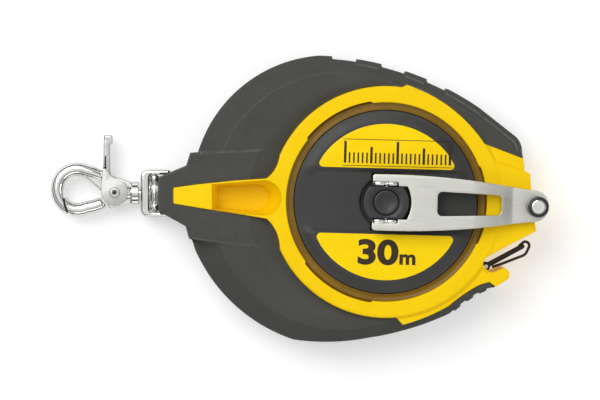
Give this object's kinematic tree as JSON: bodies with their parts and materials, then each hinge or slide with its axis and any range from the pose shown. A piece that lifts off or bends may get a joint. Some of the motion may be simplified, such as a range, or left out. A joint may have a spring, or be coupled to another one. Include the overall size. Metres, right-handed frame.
{
  "type": "surveyor tape reel",
  "caption": "Closed-case long measuring tape on a geared folding crank, with a snap hook on the blade end and a wire clip in the case.",
  "frame": {"origin": "reel axis where it meets the flat back of the case", "axes": "the tape lies on its back: +Z is the reel axis out of the dial, the blade leaves towards -X, +Y is the top of the dial"},
  "size_m": [0.2994, 0.1718, 0.0638],
  "materials": {
    "yellow_plastic": "satin moulded ABS",
    "dark_grip": "fine grained soft grip",
    "dark_plastic": "fine textured moulding",
    "amber_ring": "tinted gloss",
    "label": "printed film",
    "crank_steel": "satin stamped sheet",
    "chrome": "polished plating",
    "steel": "plain turned steel",
    "blade_steel": "lacquered spring steel",
    "reel_plastic": "moulded nylon",
    "gear_plastic": "moulded acetal",
    "black_wire": "black coated wire",
    "knob_plastic": "black moulding"
  },
  "bodies": {
    "case": {"front_shell": "yellow_plastic", "knob_socket": "yellow_plastic", "front_grip": "dark_grip", "back_shell": "yellow_plastic", "back_grip": "dark_grip", "snout": "dark_plastic", "mouth_guard": "steel", "case_screws": "steel", "axle": "steel", "roller_pin": "steel", "clip_pin": "steel", "dial_keeper": "amber_ring", "blade_lead": "blade_steel", "ring_gear": "gear_plastic"},
    "guide_roller": {"guide_roller": "gear_plastic"},
    "reel": {"reel_hub": "reel_plastic", "reel_front_flange": "reel_plastic", "reel_rear_flange": "reel_plastic", "blade_anchor": "steel", "tape_coil": "blade_steel", "sun_gear": "gear_plastic"},
    "dial": {"dial": "dark_plastic", "planet_pins": "steel", "hub_block": "dark_plastic", "hinge_pins": "steel", "button_spring": "steel", "upper_label": "label", "lower_label": "label"},
    "planet_1": {"planet_gear_1": "gear_plastic"},
    "planet_2": {"planet_gear_2": "gear_plastic"},
    "planet_3": {"planet_gear_3": "gear_plastic"},
    "button": {"hub_button": "dark_plastic"},
    "crank": {"crank_arm": "crank_steel", "knob_rivet": "chrome"},
    "knob": {"crank_knob": "knob_plastic"},
    "tape_end": {"blade_end": "blade_steel", "end_barrel": "chrome", "end_bail": "chrome", "end_pin": "steel"},
    "hook": {"hook_body": "chrome", "trigger_rivet": "steel", "trigger_spring": "steel"},
    "trigger": {"snap_trigger": "chrome"},
    "clip": {"clip_bar": "black_wire", "clip_wire": "black_wire"}
  },
  "joints": [
    {"name": "crank_turn", "type": "hinge", "parent": "case", "child": "dial", "pos_m": [0, 0, 0.036], "axis": [0, 0, 1], "continuous": true},
    {"name": "reel_spin", "type": "hinge", "parent": "case", "child": "reel", "pos_m": [0, 0, 0.01], "axis": [0, 0, 1], "continuous": true},
    {"name": "planet_1_spin", "type": "hinge", "parent": "dial", "child": "planet_1", "pos_m": [0.027, 0, 0.0233], "axis": [0, 0, 1], "continuous": true},
    {"name": "planet_2_spin", "type": "hinge", "parent": "dial", "child": "planet_2", "pos_m": [-0.0135, 0.02338, 0.0233], "axis": [0, 0, 1], "continuous": true},
    {"name": "planet_3_spin", "type": "hinge", "parent": "dial", "child": "planet_3", "pos_m": [-0.0135, -0.02338, 0.0233], "axis": [0, 0, 1], "continuous": true},
    {"name": "crank_fold", "type": "hinge", "parent": "dial", "child": "crank", "pos_m": [0, 0, 0.0435], "axis": [0.0262, 0.9997, 0], "range_deg": [-180, 0]},
    {"name": "knob_spin", "type": "hinge", "parent": "crank", "child": "knob", "pos_m": [0.08917, -0.00233, 0.05], "axis": [0, 0, 1], "continuous": true},
    {"name": "hub_press", "type": "slide", "parent": "dial", "child": "button", "axis": [0, 0, -1], "range_m": [0, 0.0012], "stiffness_N_per_m": 400, "deforming": ["button_spring"]},
    {"name": "tape_pull", "type": "slide", "parent": "case", "child": "tape_end", "axis": [-1, 0, 0], "range_m": [0, 0.055]},
    {"name": "roller_spin", "type": "hinge", "parent": "case", "child": "guide_roller", "pos_m": [-0.074, -0.0038, 0.0095], "axis": [0, 0, 1], "continuous": true},
    {"name": "hook_swivel", "type": "hinge", "parent": "tape_end", "child": "hook", "pos_m": [-0.146, 0.0047, 0.00955], "axis": [1, 0, 0], "continuous": true},
    {"name": "trigger_pull", "type": "hinge", "parent": "hook", "child": "trigger", "pos_m": [-0.163, 0.0052, 0.00955], "axis": [0, 0, -1], "range_deg": [0, 17], "stiffness_Nm_per_rad": 0.05},
    {"name": "clip_flex", "type": "hinge", "parent": "case", "child": "clip", "pos_m": [0.06, -0.0386, 0.029], "axis": [0, 0, -1], "range_deg": [0, 7], "stiffness_Nm_per_rad": 0.5}
  ],
  "couplings": [
    {"joint": "reel_spin", "follows": "crank_turn", "ratio": 3},
    {"joint": "planet_1_spin", "follows": "crank_turn", "ratio": -4},
    {"joint": "planet_2_spin", "follows": "crank_turn", "ratio": -4},
    {"joint": "planet_3_spin", "follows": "crank_turn", "ratio": -4}
  ]
}
